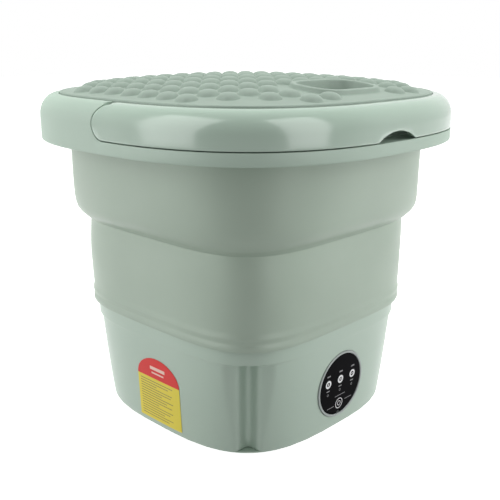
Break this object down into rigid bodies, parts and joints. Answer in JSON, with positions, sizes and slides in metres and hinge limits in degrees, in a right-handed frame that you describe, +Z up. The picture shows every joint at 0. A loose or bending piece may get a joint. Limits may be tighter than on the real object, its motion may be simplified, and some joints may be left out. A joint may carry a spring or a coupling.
{
  "type": "portable mini washer",
  "caption": "Folding mini washer: square base with touch panel and pulsator, collapsible tub, swing-up carry handle and dimpled lift-off lid with a soap tray.",
  "frame": {"origin": "centre of the footprint, on the floor under the feet", "axes": "+Z up; the control panel faces -Y; the information label faces -X; the power inlet and the drain outlet face +Y"},
  "size_m": [0.3736, 0.3736, 0.3443],
  "materials": {
    "sage_plastic": "satin moulded polypropylene",
    "tpe_bellows": "soft satin elastomer",
    "cover_plastic": "fine texture",
    "black_rubber": "matte",
    "steel": "zinc plated",
    "motor_steel": "plated can",
    "circuit_board": "solder mask",
    "bronze": "sintered",
    "white_plastic": "satin",
    "bezel_grey": "satin",
    "gloss_black": "high gloss film",
    "socket_black": "matte",
    "label_film": "printed film"
  },
  "bodies": {
    "base": {"base_shell": "sage_plastic", "bottom_cover": "cover_plastic", "foot_front_left": "black_rubber", "foot_front_right": "black_rubber", "foot_back_left": "black_rubber", "foot_back_right": "black_rubber", "cover_screw_1": "steel", "cover_screw_2": "steel", "cover_screw_3": "steel", "cover_screw_4": "steel", "motor": "motor_steel", "motor_bracket": "steel", "bracket_screw_1": "steel", "bracket_screw_2": "steel", "circuit_board": "circuit_board", "bearing_bush": "bronze", "shaft_seal": "black_rubber", "control_bezel": "bezel_grey", "control_panel": "gloss_black", "touch_board": "circuit_board", "info_label": "label_film", "dc_socket": "socket_black", "drain_spigot": "white_plastic", "drain_hose": "black_rubber"},
    "pulsator": {"pulsator": "white_plastic", "drive_shaft": "steel", "pulsator_screw": "steel"},
    "drain_cap": {"drain_cap": "black_rubber"},
    "bellows_lower": {"bellows_lower": "tpe_bellows"},
    "rim": {"bellows_upper": "tpe_bellows", "rim_ring": "sage_plastic", "pivot_pin_left": "steel", "pivot_pin_right": "steel"},
    "handle": {"handle": "sage_plastic"},
    "lid": {"lid": "sage_plastic"}
  },
  "joints": [
    {"name": "pulsator_spin", "type": "hinge", "parent": "base", "child": "pulsator", "pos_m": [0, 0, 0.09], "axis": [0, 0, 1], "continuous": true},
    {"name": "drain_cap_pull", "type": "slide", "parent": "base", "child": "drain_cap", "axis": [0, 0.999, -0.0436], "range_m": [0, 0.02]},
    {"name": "tub_fold", "type": "slide", "parent": "base", "child": "rim", "axis": [0, 0, -1], "range_m": [0, 0.165]},
    {"name": "bellows_fold", "type": "slide", "parent": "base", "child": "bellows_lower", "axis": [0, 0, -1], "range_m": [0, 0.0825]},
    {"name": "handle_swing", "type": "hinge", "parent": "rim", "child": "handle", "pos_m": [0, -0.0135, 0.318], "axis": [-1, 0, 0], "range_deg": [0, 90]},
    {"name": "lid_lift", "type": "slide", "parent": "rim", "child": "lid", "axis": [0, 0, 1], "range_m": [0, 0.012]}
  ],
  "couplings": [
    {"joint": "bellows_fold", "follows": "tub_fold", "ratio": 0.5}
  ]
}
